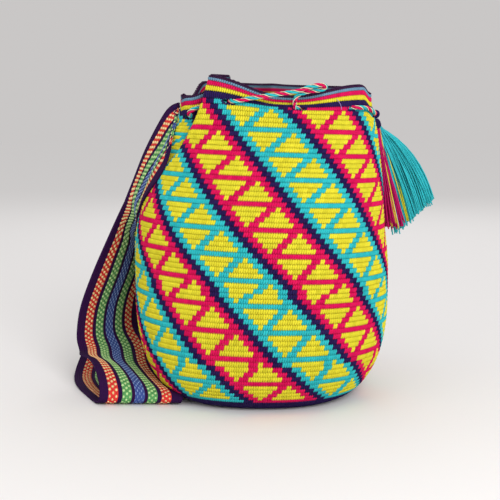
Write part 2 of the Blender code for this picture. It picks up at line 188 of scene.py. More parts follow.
def add_mesh(name, points, faces, node, uv=None, values=None, material=None):
    """Piece from an array of points and arrays of faces, with its UV map and point values. It stands in
    the place of a node of the solid model."""
    mesh = bpy.data.meshes.new(name)
    faces = [np.asarray(f) for f in faces if len(f)]
    sizes = np.concatenate([np.full(len(f), f.shape[1]) for f in faces])
    corners = np.concatenate([f.reshape(-1) for f in faces]).astype(np.int32)
    mesh.vertices.add(len(points))
    mesh.vertices.foreach_set("co", np.asarray(points, np.float32).reshape(-1))
    mesh.loops.add(len(corners))
    mesh.loops.foreach_set("vertex_index", corners)
    mesh.polygons.add(len(sizes))
    mesh.polygons.foreach_set("loop_start", np.concatenate([[0], np.cumsum(sizes)[:-1]]).astype(np.int32))
    mesh.polygons.foreach_set("loop_total", sizes.astype(np.int32))
    mesh.update(calc_edges=True)
    mesh.shade_smooth()
    if uv is not None:
        layer = mesh.uv_layers.new(name="yarn_uv")
        layer.data.foreach_set("uv", np.asarray(uv, np.float32)[corners].reshape(-1))
    for key, data in (values or {}).items():
        kind, field = ("FLOAT", "value") if data.ndim == 1 else ("FLOAT_COLOR", "color")
        attribute = mesh.attributes.new(key, kind, "POINT")
        attribute.data.foreach_set(field, np.asarray(data, np.float32).reshape(-1))
    piece = new_object(name, mesh)
    if material:
        mesh.materials.append(material)
    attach(piece, "root")
    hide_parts(node)


def grid_faces(rows, columns, around=False):
    """Quads of a grid of points, counted row by row; around joins the last column to the first."""
    i = np.arange(rows - 1)[:, None]
    j = np.arange(columns if around else columns - 1)[None]
    k = (j + 1) % columns
    return np.stack([i * columns + j, i * columns + k, (i + 1) * columns + k,
                     (i + 1) * columns + j], -1).reshape(-1, 4)


# Wall of the bag

def side_radius(z, side):
    """Half width of the bag on one side at height z: a superelliptic corner, then an eased neck."""
    up = np.clip(1 - z / CORNER_HEIGHT, 0, 1)
    low = BASE_RADIUS + (BELLY_RADIUS - BASE_RADIUS) * (1 - up**CORNER_POWER) ** (1 / CORNER_POWER)
    start = SHOULDER_RIGHT if side > 0 else SHOULDER_LEFT
    neck = NECK_RADIUS + side * NECK_OFFSET
    tuck = sum(depth * smooth((z - foot) / reach) for foot, reach, depth in RIGHT_TUCKS) * (side > 0)
    return low - (BELLY_RADIUS - neck) * smooth((z - start) / (HEIGHT - start)) - tuck


def wall_heights():
    """Arc length up the wall from the edge of the base, with the height at each length."""
    z = np.concatenate([np.linspace(0, 1, 300) ** 2 * CORNER_HEIGHT,
                        np.linspace(CORNER_HEIGHT, HEIGHT, 300)[1:]])
    radius = (side_radius(z, 1) + side_radius(z, -1)) / 2
    steps = np.hypot(np.diff(z), np.diff(radius))
    return np.concatenate([[0], np.cumsum(steps)]), z


def pleat_pull(degrees, z, widen=0.0):
    """How far the pleats draw the wall inwards: a bell curve for each pleat, eased in with height."""
    pull = 0 * (degrees + z)
    grow = smooth((z - PLEAT_START) / (PLEAT_FULL - PLEAT_START))
    for middle, depth, front_half, back_half, wander in PLEATS:
        away = wrapped(degrees - middle + wander * (HEIGHT - z))
        towards_front = away * np.sign(wrapped(middle)) < 0
        half = np.where(towards_front, front_half, back_half) + widen
        pull = pull + depth * grow * np.exp(-(away / half) ** 2)
    return pull


def rim_dip(degrees, z):
    """How far the wall sinks at its two sides, beside the front lip, less its rise at the lip's corner."""
    sunk = 0 * degrees
    for middle, half, depth, reach, flat in RIM_DIPS:
        beside = np.clip(1 - wrapped(degrees - middle) ** 2 / half**2, 0, 1)
        sunk = sunk + depth * smooth(beside * flat) * smooth((z - HEIGHT + reach) / reach)
    return sunk


def wall_point(degrees, z, inset=0.0, widen=0.0, rise=0.0):
    """Points of the wall at plan angles from the front and heights z: a superellipse of unlike left and
    right halves, pulled in by the pleats, with the rim's sag and the rows' tilt added to its height."""
    degrees = np.asarray(degrees, float)
    z = np.asarray(z, float)
    angle = np.radians(degrees)
    right = side_radius(z, 1)
    left = side_radius(z, -1)
    middle = (right - left) / 2
    half = (right + left) / 2
    share = BELLY_DEPTH + (NECK_DEPTH - BELLY_DEPTH) * smooth((z - DEPTH_START) / DEPTH_REACH)
    power = 2 / SQUARENESS
    x = half * np.sign(np.sin(angle)) * np.abs(np.sin(angle)) ** power
    y = -half * share * np.sign(np.cos(angle)) * np.abs(np.cos(angle)) ** power
    radius = np.hypot(x, y)
    scale = (radius - pleat_pull(degrees, z, widen) - inset) / radius
    x = middle + x * scale
    y = y * scale
    away = wrapped(degrees - LIP_AT)
    sag = np.exp(-(away / LIP_SPREAD) ** 2) * smooth((z - HEIGHT + LIP_REACH) / LIP_REACH)
    tilt = math.tan(ROW_TILT) * x * smooth(z / TILT_REACH)
    height = z + rise - tilt - LIP_DIP * sag - rim_dip(degrees, z)
    return np.stack(np.broadcast_arrays(x, y + LIP_LEAN * sag, height), -1)


def beside_wall(degrees, z, out):
    """Points off the wall by a distance, bridging the pleats."""
    return wall_point(degrees, z, inset=-out - pleat_pull(np.asarray(degrees, float), z))


LENGTH, HEIGHTS = wall_heights()


def row_height(r):
    """Height on the wall of a place counted in row heights down from the rim."""
    return np.interp(LENGTH[-1] - np.asarray(r) * ROW, LENGTH, HEIGHTS)


def row_edge(k):
    """Upper edge of row k, in row heights below the rim: thin rows in the rim, even rows below, and
    slightly taller ones near the base."""
    k = np.asarray(k, float)
    low = k - FIRST_BAR + RIM_EDGES[-1] + LOW_ROWS * smooth((k - LOW_FROM) / (LAST_PATTERN - LOW_FROM))
    return np.where(k < FIRST_BAR, np.interp(k, np.arange(FIRST_BAR + 1), RIM_EDGES), low)


def column_angles(z, columns, widen=0.0, inset=0.0):
    """Plan angle of each column of stitches, counted from the front middle. With s the length round the
    section, S its half and w a stitch, the count is s/w + (half the stitches - S/w) (s/S)^3."""
    turn = np.linspace(-180, 180, 1441)
    ring = wall_point(turn, z, inset=inset, widen=widen)[:, :2]
    along = length_along(ring)
    front = np.interp(0, turn, along)
    half = np.where(along > front, along[-1] - front, front)
    share = (along - front) / half
    across = half / (STITCH_WIDTH * np.minimum(1, half / NARROW_BELOW))
    count = across * share + (STITCHES / 2 - across) * np.sign(share) * np.abs(share) ** BACK_CROWD
    return np.interp(wrapped(columns, STITCHES), count, turn)


def wall_row(z, columns, inset=0.0, rise=0.0):
    """Points of the wall at height z, at columns counted in stitches from the front."""
    return wall_point(column_angles(z, columns), z, inset=inset, rise=rise)


COLUMNS = np.arange(STITCHES) - STITCHES / 2


def stitch_yarn(row, column):
    """Yarn of each stitch: slanting bands between dark lines. Four rows out of five hold a triangle that
    narrows downwards from the band's left, beside one that widens downwards from its right."""
    lean = np.interp(row, LEAN_ROWS, LEAN)
    place = np.floor(column - row + PATTERN_START - lean + LINE / 2 + 0.5).astype(int)
    band = np.floor_divide(place, BAND)
    d = np.mod(place, BAND) - LINE
    step = (row - FIRST_BAR) % BLOCK
    left, right = TRIANGLES
    down = (d >= left) & (d < left + TRIANGLE_WIDE - 2 * step)
    up = (d >= right - (2 * step - 1)) & (d < right)
    ground = np.where(band % 2 == 0, YARN_ORDER.index("turquoise"), YARN_ORDER.index("magenta"))
    yarn = np.where((step > 0) & (down | up), YARN_ORDER.index("yellow"), ground)
    yarn = np.where(d < 0, YARN_ORDER.index("navy"), yarn)
    for k, name in enumerate(("plum", "grey_blue", "magenta", "yellow", "navy")):
        yarn = np.where(row == k, YARN_ORDER.index(name), yarn)
    rounds = np.array([YARN_ORDER.index(name) for name in BASE_ROUNDS])
    below = np.clip(np.asarray(row) - LAST_PATTERN - 1, 0, None).astype(int)
    yarn = np.where(row > LAST_PATTERN, rounds[np.minimum(below, len(rounds) - 1)], yarn)
    return yarn


GROUND_DEPTH = 0.0004          # how far the ground's outer face lies inside the line of the wall
FINE_ROWS = 18                 # rows from the rim down in which the ground has two rings of points a row
INSIDE_RIDGE = 0.0003          # height of the rows' ridges inside the bag
RIM_RISE = 0.0012              # of the ground's rim over the wall
BASE_RINGS = 14                # rings of points in the base
GROUND_WIDEN = 0.8             # share of the wall's thickness by which a pleat is wider inside
BASE_LIFT = 0.0006             # how far the base's middle stands off the floor
EYELET_ROW = 4.6               # row heights from the rim to the eyelets' middles
EYELET_Z = float(row_height(EYELET_ROW))
# Plan angles of the eyelets, in the order of the lacing
EYELET_ANGLES = (104, 78, 45, 10, -26, -48, -67, -130, -148, -170, -188, -238)
EYELET_WIDTH = 0.0125
EYELET_HEIGHT = 0.0066
EYELET_STITCHES = 14           # in the ring round each eyelet
RING_INSIDE = 0.0008           # how far that ring reaches into the hole and out from its edge
RING_OUTSIDE = 0.0022
RING_LEAN = 0.22               # slant of its stitches, radians
RING_SIZE = (0.00135, 0.0010)


def eyelet_columns():
    """Column of each eyelet's middle."""
    columns = np.linspace(-STITCHES / 2, STITCHES / 2, 4 * STITCHES + 1)
    angles = column_angles(EYELET_Z, columns[:-1])
    found = []
    for angle in EYELET_ANGLES:
        away = np.abs(wrapped(angles - angle))
        found.append(columns[np.argmin(away)])
    return np.array(found)


EYELET_COLUMNS = eyelet_columns()


def in_eyelet(r, column, grow=0.0):
    """True where a place on the wall lies in an eyelet's oval."""
    away = wrapped(column[..., None] - EYELET_COLUMNS, STITCHES)
    across = away * STITCH_WIDTH / (EYELET_WIDTH / 2 + grow)
    up = (r - EYELET_ROW)[..., None] * ROW / (EYELET_HEIGHT / 2 + grow)
    return ((across**2 + up**2) < 1).any(-1)


def lobe(sides, rings):
    """Spindle of unit length and unit radius: poles at both ends and rings between them. Gives its
    points as (around x, around y, along), its faces and its UV."""
    turn = circle(sides)
    points = [(0, 0, 0)]
    uv = [(0.5, 0)]
    for share, radius in rings:
        for a in turn:
            points.append((math.cos(a) * radius, math.sin(a) * radius, share))
            uv.append((a / (2 * np.pi), share))
    points.append((0, 0, 1))
    uv.append((0.5, 1))
    n = len(rings)
    tip = 1 + n * sides
    j = np.arange(sides)
    k = (j + 1) % sides
    ends = np.concatenate([np.stack([0 * j, 1 + k, 1 + j], -1),
                           np.stack([0 * j + tip, tip - sides + j, tip - sides + k], -1)])
    walls = [np.stack([1 + i * sides + j, 1 + i * sides + k, 1 + (i + 1) * sides + k,
                       1 + (i + 1) * sides + j], -1) for i in range(n - 1)]
    walls.append(np.zeros((0, 4), int))    # so that a spindle of one ring has its empty list too
    return np.array(points), (ends, np.concatenate(walls)), np.array(uv)


def scatter(name, template, starts, ends, outs, wide, deep, node, material, shade):
    """One mesh of many copies of a spindle, each from its start to its end, wide across and deep
    along its outward direction."""
    points, (ends_faces, wall_faces), uv = template
    along = ends - starts
    across = unit(np.cross(outs, along))
    out = unit(np.cross(along, across))
    p = (starts[:, None] + points[None, :, 2:3] * along[:, None]
         + points[None, :, 0:1] * across[:, None] * wide + points[None, :, 1:2] * out[:, None] * deep)
    count, size = len(starts), len(points)
    step = (np.arange(count) * size)[:, None, None]
    faces = [(ends_faces[None] + step).reshape(-1, 3), (wall_faces[None] + step).reshape(-1, 4)]
    add_mesh(name, p.reshape(-1, 3), faces, node, np.tile(uv, (count, 1)),
             {"shade": np.repeat(shade, size)}, material)


# Materials

def new_material(name, colour):
    """Principled material with its constant values on the shader's sockets, and its node tree."""
    material = bpy.data.materials.new(name)
    material.use_nodes = True
    shader = material.node_tree.nodes["Principled BSDF"]
    shader.inputs["Base Color"].default_value = (*colour, 1)
    shader.inputs["Roughness"].default_value = 0.95
    shader.inputs["Specular IOR Level"].default_value = 0.12
    return material, material.node_tree, shader


def new_node(tree, kind, inputs, **settings):
    """Shader node with its settings. Each input that is named gets a socket, a number or a colour."""
    node = tree.nodes.new(kind)
    for key, value in settings.items():
        setattr(node, key, value)
    for key, value in inputs.items():
        if isinstance(value, bpy.types.NodeSocket):
            tree.links.new(value, node.inputs[key])
        else:
            node.inputs[key].default_value = (*value, 1) if isinstance(value, tuple) else value
    return node


def mix_colours(tree, factor, first, second, blend="MIX"):
    """Socket of two colours blended by a factor. Each of the three is a socket or a plain value."""
    inputs = {0: factor, 6: first, 7: second}
    return new_node(tree, "ShaderNodeMix", inputs, data_type="RGBA", blend_type=blend).outputs[2]


def weighted_sum(tree, first, weight, second):
    """Socket of the first times the weight, plus the second."""
    inputs = {0: first, 1: weight, 2: second}
    return new_node(tree, "ShaderNodeMath", inputs, operation="MULTIPLY_ADD").outputs[0]


def point_values(tree, name):
    """Node that reads values stored on the points."""
    return new_node(tree, "ShaderNodeAttribute", {}, attribute_name=name)


def add_noise(tree, scale, detail=2):
    """Socket of a noise over the object's own coordinates."""
    place = new_node(tree, "ShaderNodeTexCoord", {}).outputs["Object"]
    inputs = {"Vector": place, "Scale": scale, "Detail": detail}
    return new_node(tree, "ShaderNodeTexNoise", inputs).outputs["Fac"]


def add_wave(tree, direction, scale, distortion=0.0):
    """Socket of a banded wave over the UV map."""
    place = new_node(tree, "ShaderNodeTexCoord", {}).outputs["UV"]
    inputs = {"Vector": place, "Scale": scale, "Distortion": distortion}
    return new_node(tree, "ShaderNodeTexWave", inputs, bands_direction=direction).outputs["Fac"]


def add_relief(tree, shader, height, strength, distance):
    """Bump of a material's surface from a socket of heights."""
    bump = new_node(tree, "ShaderNodeBump", {"Strength": strength, "Distance": distance, "Height": height})
    tree.links.new(bump.outputs["Normal"], shader.inputs["Normal"])


YARN_DARK = 0.72               # shade of the darkest stitches, as a share of the yarn's colour


def yarn_material(name, colour):
    """Yarn: each stitch in its own shade, darker fibres in its fuzz, and the twist of its plies."""
    material, tree, shader = new_material(name, colour)
    fuzz = add_noise(tree, 1900, 3)
    twist = add_wave(tree, "DIAGONAL", 0.9, 1.0)
    deep = tuple(c * YARN_DARK for c in colour)
    pale = tuple(min(1, c * 1.08 + 0.012) for c in colour)
    stitch = mix_colours(tree, point_values(tree, "shade").outputs["Fac"], deep, pale)
    fibres = mix_colours(tree, fuzz, tuple(c * YARN_DARK for c in deep), pale)
    tree.links.new(mix_colours(tree, 0.45, stitch, fibres), shader.inputs["Base Color"])
    add_relief(tree, shader, weighted_sum(tree, twist, 0.25, fuzz), 0.55, 0.0004)
    return material


def ground_material(name):
    """Ground under the stitches: the carried yarn, in the colours of the stitches over it, darkened by painted
    shade between and under the stitches.
    """
    material, tree, shader = new_material(name, (0.2, 0.1, 0.1))
    fuzz = add_noise(tree, 1500)
    # painted shade: the ground's colour is multiplied down to 0.32–0.8 of its yarn, as shade in the gaps
    # between and under the stitches, broken up by fibre fuzz
    tint = mix_colours(tree, fuzz, (0.32, 0.32, 0.32), (0.8, 0.8, 0.8))
    yarn = point_values(tree, "yarn").outputs["Color"]
    colour = mix_colours(tree, 1.0, yarn, tint, "MULTIPLY")
    tree.links.new(colour, shader.inputs["Base Color"])
    add_relief(tree, shader, fuzz, 0.6, 0.0005)
    return material


YARN_MATERIAL = {name: yarn_material(f"yarn_{name}", colour) for name, colour in YARN.items()}


# Crochet

STITCH_LOBE = lobe(5, ((0.22, 0.85), (0.74, 1.0)))
LEGS = ((-0.38, -0.04), (0.10, 0.46))     # foot and head of each leg, in stitches from the stitch's middle
LEG_SIZE = (0.00128, 0.00105)    # half width and half depth of a leg
FOOT_UNDER = 0.14              # how far a leg's foot reaches into the row below, as a share of its row
HEAD_OVER = 0.10               # how far its head reaches into the row above
FOOT_SUNK = 0.0003             # how far a leg's foot lies inside the line of the wall
YELLOW_SPLIT = 38              # row at which the yellow stitches are parted into two pieces


def add_stitches():
    """Every stitch of the wall as two leaning legs, gathered into one piece for each yarn."""
    rows = np.arange(0, LAST_ROW + 1)
    upper, lower = row_edge(rows), row_edge(rows + 1)
    places = COLUMNS + 0.5
    legs = {}
    for k in rows:
        h = lower[k] - upper[k]
        low, high = row_height(lower[k] + FOOT_UNDER * h), row_height(upper[k] - HEAD_OVER * h)
        yarn = stitch_yarn(np.full(STITCHES, k), COLUMNS)
        keep = ~in_eyelet(np.full(STITCHES, (upper[k] + lower[k]) / 2), places, 0.0004)
        for foot, head in LEGS:
            bottom = wall_row(low, places + foot, FOOT_SUNK)
            top = wall_row(high, places + head)
            beside = wall_row(high, places + head + 0.3)
            out = unit(np.cross(beside - top, top - bottom))
            legs.setdefault(k, []).append((bottom, top, out, yarn, keep))
    shade = {k: np.clip(chance.normal(0.55, 0.22, STITCHES), 0, 1) for k in rows}
    for index, name in enumerate(YARN_ORDER):
        parts = [(f"crochet_{name}", rows)]
        if name == "yellow":
            parts = [("crochet_yellow_upper", rows[:YELLOW_SPLIT]),
                     ("crochet_yellow_lower", rows[YELLOW_SPLIT:])]
        for piece, group in parts:
            picked = []
            for k in group:
                for bottom, top, out, yarn, keep in legs[k]:
                    mine = (yarn == index) & keep
                    picked.append((bottom[mine], top[mine], out[mine], shade[k][mine]))
            bottom, top, out, tone = joined(picked)
            scatter(piece, STITCH_LOBE, bottom, top, out, *LEG_SIZE, "bag_body",
                    YARN_MATERIAL[name], tone)


def eyelet_walls(hole, outer_ring, inner_ring):
    """Quads through the ground round the eyelets, wherever a dropped quad borders a kept one. Row q of
    the holes lies at outer_ring - q among the rings of points outside, and at inner_ring + q inside."""
    n = STITCHES
    walls = []
    rows_hit, columns_hit = np.nonzero(hole)
    for down, along in ((0, 1), (0, -1), (1, 0), (-1, 0)):
        neighbour = hole[rows_hit + down, (columns_hit + along) % n]
        q, left = rows_hit[~neighbour], columns_hit[~neighbour]
        right = (left + 1) % n
        if along:
            side = right if along > 0 else left
            a, b = (q, side), (q + 1, side)
        else:
            a, b = (q + (down > 0), left), (q + (down > 0), right)
        quad = np.stack([(outer_ring - a[0]) * n + a[1], (outer_ring - b[0]) * n + b[1],
                         (inner_ring + b[0]) * n + b[1], (inner_ring + a[0]) * n + a[1]], -1)
        walls.append(quad[:, ::-1] if along > 0 or down < 0 else quad)
    return walls


def ground_colours(k, base_rings):
    """Colour of each point of the ground: that of the stitches over it, and rounds of three yarns in
    the base. k holds the row of each ring of the wall."""
    in_base = np.full(base_rings, LAST_ROW)
    rows = np.clip(np.floor(np.concatenate([in_base, k[::-1], [0], k, in_base])), 0, LAST_ROW)
    yarn = stitch_yarn(np.repeat(rows[:, None], STITCHES, 1), np.repeat(COLUMNS[None], len(rows), 0))
    colours = np.array([YARN[name] for name in YARN_ORDER])[yarn]
    rounds = np.array([YARN["navy"], YARN["magenta"], YARN["turquoise"]])
    order = np.arange(base_rings) // 3 % 3
    colours[:base_rings] = rounds[order[::-1]][:, None]
    colours[-base_rings:] = rounds[order][:, None]
    colours = np.concatenate([colours.reshape(-1, 3), [YARN["navy"]] * 2])
    return np.pad(colours, ((0, 0), (0, 1)), constant_values=1)


def add_ground():
    """Closed ground of the bag: an outer and an inner surface on the same grid, joined at the rim and
    round each eyelet, and closed by the base."""
    n = STITCHES
    k = np.concatenate([np.arange(0, FINE_ROWS, 0.5), np.arange(FINE_ROWS, LAST_ROW + 2)])
    r = row_edge(k)
    z = row_height(r)
    outer = np.stack([wall_row(h, COLUMNS, GROUND_DEPTH) for h in z])
    ridge = INSIDE_RIDGE * np.cos(2 * np.pi * k)
    deep = WALL - GROUND_DEPTH
    widen = math.degrees(WALL / NECK_RADIUS) * GROUND_WIDEN
    raised = np.where(z < 3 * WALL, WALL + z * 2 / 3, z)
    inner = np.stack([wall_point(column_angles(h, COLUMNS, widen, deep), up, inset=deep - d, widen=widen)
                      for h, up, d in zip(z, raised, ridge)])
    rim = (outer[0] + inner[0]) / 2 + [0, 0, RIM_RISE]
    shares = np.linspace(1, 0, BASE_RINGS + 2)[1:-1]
    under = np.array([outer[-1] * [s, s, 0] + [0, 0, BASE_LIFT * (1 - s)] for s in shares])
    floor_height = inner[-1][:, 2].mean()
    over = np.array([inner[-1] * [s, s, 0] + [0, 0, floor_height] for s in shares])
    rings = np.concatenate([under[::-1], outer[::-1], [rim], inner, over])
    count = len(rings)
    points = np.concatenate([rings.reshape(-1, 3), [[0, 0, BASE_LIFT]], [[0, 0, floor_height]]])
    first_outer = len(under)
    first_inner = first_outer + len(outer) + 1
    middle_r = (r[1:] + r[:-1]) / 2
    hole = in_eyelet(np.repeat(middle_r[:, None], n, 1), np.repeat((COLUMNS + 0.5)[None], len(middle_r), 0))
    drop = np.zeros((count - 1, n), bool)
    drop[first_outer:first_outer + len(middle_r)] = hole[::-1]
    drop[first_inner:first_inner + len(middle_r)] = hole
    faces = grid_faces(count, n, around=True).reshape(count - 1, n, 4)[~drop]
    walls = eyelet_walls(hole, first_outer + len(outer) - 1, first_inner)
    j = np.arange(n)
    after = (j + 1) % n
    last = (count - 1) * n
    caps = np.concatenate([np.stack([0 * j + len(points) - 2, after, j], -1),
                           np.stack([0 * j + len(points) - 1, last + j, last + after], -1)])
    add_mesh("crochet_ground", points, [faces, *walls, caps], "bag_body",
             values={"yarn": ground_colours(k, len(under))}, material=ground_material("crochet_ground"))


CHAIN_RISE = 0.0008            # of the chain's stitches over the rim
CHAIN_SLANT = 1.1              # of each, in stitches from its inner to its outer end
CHAIN_SIZE = (0.0012, 0.0008)


def add_rim_edge():
    """Chain of slanting stitches along the top of the rim."""
    inner = wall_row(HEIGHT, COLUMNS, WALL * 0.8, CHAIN_RISE)
    outer = wall_row(HEIGHT, COLUMNS + CHAIN_SLANT, WALL * 0.2, CHAIN_RISE)
    out = np.tile([0, 0, 1.0], (STITCHES, 1))
    scatter("rim_edge", STITCH_LOBE, inner, outer, out, *CHAIN_SIZE, "bag_body", YARN_MATERIAL["plum"],
            np.clip(chance.normal(0.5, 0.2, STITCHES), 0, 1))


def add_eyelet_rings():
    """Ring of slanting stitches round each eyelet."""
    turn = circle(EYELET_STITCHES)
    starts, ends, outs = [], [], []
    for column in EYELET_COLUMNS:
        for grow, turned, kept in ((-RING_INSIDE, 0.0, starts), (RING_OUTSIDE, RING_LEAN, ends)):
            across = column + np.cos(turn + turned) * (EYELET_WIDTH / 2 + grow) / STITCH_WIDTH
            down = EYELET_ROW + np.sin(turn + turned) * (EYELET_HEIGHT / 2 + grow) / ROW
            z = row_height(down)
            angles = np.array([column_angles(h, c) for h, c in zip(z, across)])
            kept.append(wall_point(angles, z, inset=0.0004 if grow < 0 else -0.0001))
        middle = wall_row(z.mean(), column) * [1, 1, 0]
        outs.append(np.repeat(unit(middle)[None], EYELET_STITCHES, 0))
    count = EYELET_STITCHES * len(EYELET_COLUMNS)
    scatter("eyelet_rings", STITCH_LOBE, np.concatenate(starts), np.concatenate(ends), np.concatenate(outs),
            *RING_SIZE, "bag_body", YARN_MATERIAL["navy"], chance.random(count))


# Shoulder strap: left edge (x, y, z), heading of the width at the left and right edge, its rise, and
# the share of the full width where folds draw the strap together
STRAP_STATIONS = (
    (-0.0740, 0.0010, 0.2860, -80, -60, -56, 0.50),
    (-0.0810, -0.0030, 0.2895, -72, -50, -56, 0.70),
    (-0.0920, -0.0030, 0.2840, -68, -46, -58, 0.90),
    (-0.1040, 0.0020, 0.2660, -68, -52, -58, 0.90),
    (-0.1178, 0.0095, 0.2400, -72, -74, -60, 0.76),
    (-0.1310, 0.0190, 0.2100, -50, -72, -76, 0.62),
    (-0.1450, 0.0270, 0.1800, 44, 66, -44, 0.66),
    (-0.1600, 0.0300, 0.1480, 42, 62, -9, 0.88),
    (-0.1760, 0.0290, 0.1120, 36, 60, 0, 1.0),
    (-0.1880, 0.0260, 0.0780, 40, 52, 0, 1.0),
    (-0.1915, 0.0220, 0.0500, 39, 45, 0, 1.0),
    (-0.1880, 0.0140, 0.0370, 28, 28, -2, 1.0),
    (-0.1840, -0.0060, 0.0365, 16, 16, -12, 1.0),
    (-0.1730, -0.0260, 0.0380, 5, 5, -18, 1.0),
    (-0.1640, -0.0450, 0.0335, 0, 0, -16, 1.0),
    (-0.1580, -0.0610, 0.0235, 0, 0, -9, 1.0),
    (-0.1560, -0.0680, 0.0115, 0, 0, -3, 1.0),
    (-0.1600, -0.0630, 0.0027, 0, 0, 0, 1.0),
    (-0.1720, -0.0380, 0.0016, 0, 0, 0, 1.0),
    (-0.1900, 0.0050, 0.0016, 0, 0, 0, 1.0),
    (-0.1990, 0.0500, 0.0040, -6, -6, 0, 1.0),
    (-0.1920, 0.0960, 0.0240, -28, -28, -16, 1.0),
    (-0.1620, 0.1360, 0.0500, -52, -52, -36, 1.0),
    (-0.1150, 0.1620, 0.0620, -72, -72, -48, 1.0),
    (-0.0640, 0.1790, 0.0520, -84, -84, -38, 1.0),
    (-0.0180, 0.1920, 0.0240, -90, -90, -16, 1.0),
    (0.0220, 0.1940, 0.0040, -88, -88, 0, 1.0),
    (0.0500, 0.1800, 0.0100, -76, -76, 0, 1.0),
    (0.0600, 0.1560, 0.0360, -60, -60, 0, 1.0),
    (0.0560, 0.1350, 0.0800, -46, -46, 0, 1.0),
    (0.0520, 0.1240, 0.1300, -38, -38, 0, 1.0),
    (0.0500, 0.1190, 0.1800, -36, -36, 0, 0.95),
    (0.0490, 0.1100, 0.2250, -36, -36, 0, 0.85),
    (0.0480, 0.0960, 0.2650, -36, -36, 0, 0.75),
    (0.0460, 0.0900, 0.2900, -36, -36, 0, 0.70),
)
STRAP_WIDTH = 0.080
STRAP_THICKNESS = 0.0019
STRAP_STEPS = 3
STRAP_LANES = 8
STRAP_CLEARANCE = 0.0023       # from the wall to the middle of the strap
FINER_ALONG = 3                # points of the cloth for each point of the coarse surface
FINER_ACROSS = 6
SEAM_STITCHES = 12             # in one row across the strap
SEAM_START = 0.004             # from the strap's end to the first row
SEAM_ROWS = (0.0, 0.008)       # from there to each row
SEAM_LENGTH = 0.006            # of a stitch
SEAM_LEAN = 0.022              # half the slant of a stitch, as a share of the strap's width
SEAM_SIZE = (0.0008, 0.0007)

# Stripes across the strap: colour and width in millimetres
STRIPES = (("plum", 8.5), ("orange", 9.6), ("plum", 4), ("green", 9), ("plum", 3), ("blue", 9.6),
           ("plum", 3), ("green", 9), ("plum", 4), ("orange", 9.6), ("plum", 10.7))
STRIPES_WIDE = 80              # sum of the stripes' widths
WEAVE_SCALE = 80 / 2 / math.pi    # of the waves for the ribs and the beat
STRAP_YARN = {
    "plum": linear(46, 14, 62),
    "orange": linear(222, 58, 52),
    "green": linear(92, 158, 92),
    "blue": linear(62, 82, 148),
    "cream": linear(255, 218, 158),
    "pale_green": linear(196, 232, 160),
    "pale_blue": linear(140, 166, 214),
}


def pushed_clear(points, clearance):
    """Points moved out from the wall, in plan, wherever they are nearer to it than clearance."""
    flat = points.reshape(-1, 3)
    turns = np.arange(-180, 180, 1.0)[None]
    degrees = np.degrees(np.arctan2(flat[:, 0], -flat[:, 1]))
    z = flat[:, 2] + math.tan(ROW_TILT) * flat[:, 0] * smooth(flat[:, 2] / TILT_REACH)
    z = np.clip(z + rim_dip(degrees, z), 0, HEIGHT)
    ring = beside_wall(turns, z[:, None], 0)[..., :2]
    along = np.roll(ring, -1, axis=1) - np.roll(ring, 1, axis=1)
    outward = unit(np.stack([along[..., 1], -along[..., 0]], -1))
    k = np.argmin(np.linalg.norm(ring - flat[:, None, :2], axis=2), axis=1)
    pick = np.arange(len(flat))
    short = clearance - ((flat[:, :2] - ring[pick, k]) * outward[pick, k]).sum(1)
    moved = flat.copy()
    moved[:, :2] += outward[pick, k] * np.clip(short, 0, None)[:, None]
    return moved.reshape(points.shape)


def strap_surface():
    """Fine middle surface of the strap, its normals, and the length along it in metres. At each station
    the width runs from the left edge and turns from the first heading to the second."""
    stations = np.array(STRAP_STATIONS)
    t = np.linspace(0, len(stations) - 1, (len(stations) - 1) * STRAP_STEPS + 1)
    rows = spline(stations, t)
    share = (np.arange(STRAP_LANES) + 0.5) / STRAP_LANES
    heading = np.radians(rows[:, 3:4] + (rows[:, 4:5] - rows[:, 3:4]) * smooth(share)[None])
    rise = np.radians(rows[:, 5:6]) * np.ones_like(heading)
    step = (STRAP_WIDTH / STRAP_LANES * rows[:, 6])[:, None, None]
    moves = np.stack([np.cos(heading) * np.cos(rise), np.sin(heading) * np.cos(rise), np.sin(rise)], -1)
    start = rows[:, None, :3]
    lanes = np.concatenate([start, start + np.cumsum(moves * step, axis=1)], axis=1)
    grid = pushed_clear(lanes, STRAP_CLEARANCE)
    grid = spline(grid, np.linspace(0, len(grid) - 1, (len(grid) - 1) * FINER_ALONG + 1))
    grid = spline(grid.transpose(1, 0, 2), np.linspace(0, STRAP_LANES, STRAP_LANES * FINER_ACROSS + 1))
    grid = grid.transpose(1, 0, 2)
    normal = unit(np.cross(np.gradient(grid, axis=1), np.gradient(grid, axis=0)))
    return grid, normal, length_along(grid[:, grid.shape[1] // 2])


def on_strap(grid, normal, along, length, share):
    """Points and normals of the strap at lengths along it and shares across it."""
    i = np.clip(np.interp(length, along, np.arange(len(along))), 0, len(along) - 1.001)
    j = np.clip(share * (grid.shape[1] - 1), 0, grid.shape[1] - 1.001)
    a, b = i.astype(int), j.astype(int)
    f, g = (i - a)[:, None], (j - b)[:, None]

    def read(values):
        return ((values[a, b] * (1 - g) + values[a, b + 1] * g) * (1 - f)
                + (values[a + 1, b] * (1 - g) + values[a + 1, b + 1] * g) * f)

    return read(grid), unit(read(normal))


def on_both_faces(strap, start, end, off):
    """Starts, ends and outward directions of stitches on both faces of the strap. start and end are
    lengths along it with shares across it, and off is how far the stitches lie from its middle."""
    a, normal = on_strap(*strap, *start)
    b, _ = on_strap(*strap, *end)
    first, last = [np.concatenate([p + normal * off, p - normal * off]) for p in (a, b)]
    return first, last, np.concatenate([normal, -normal])


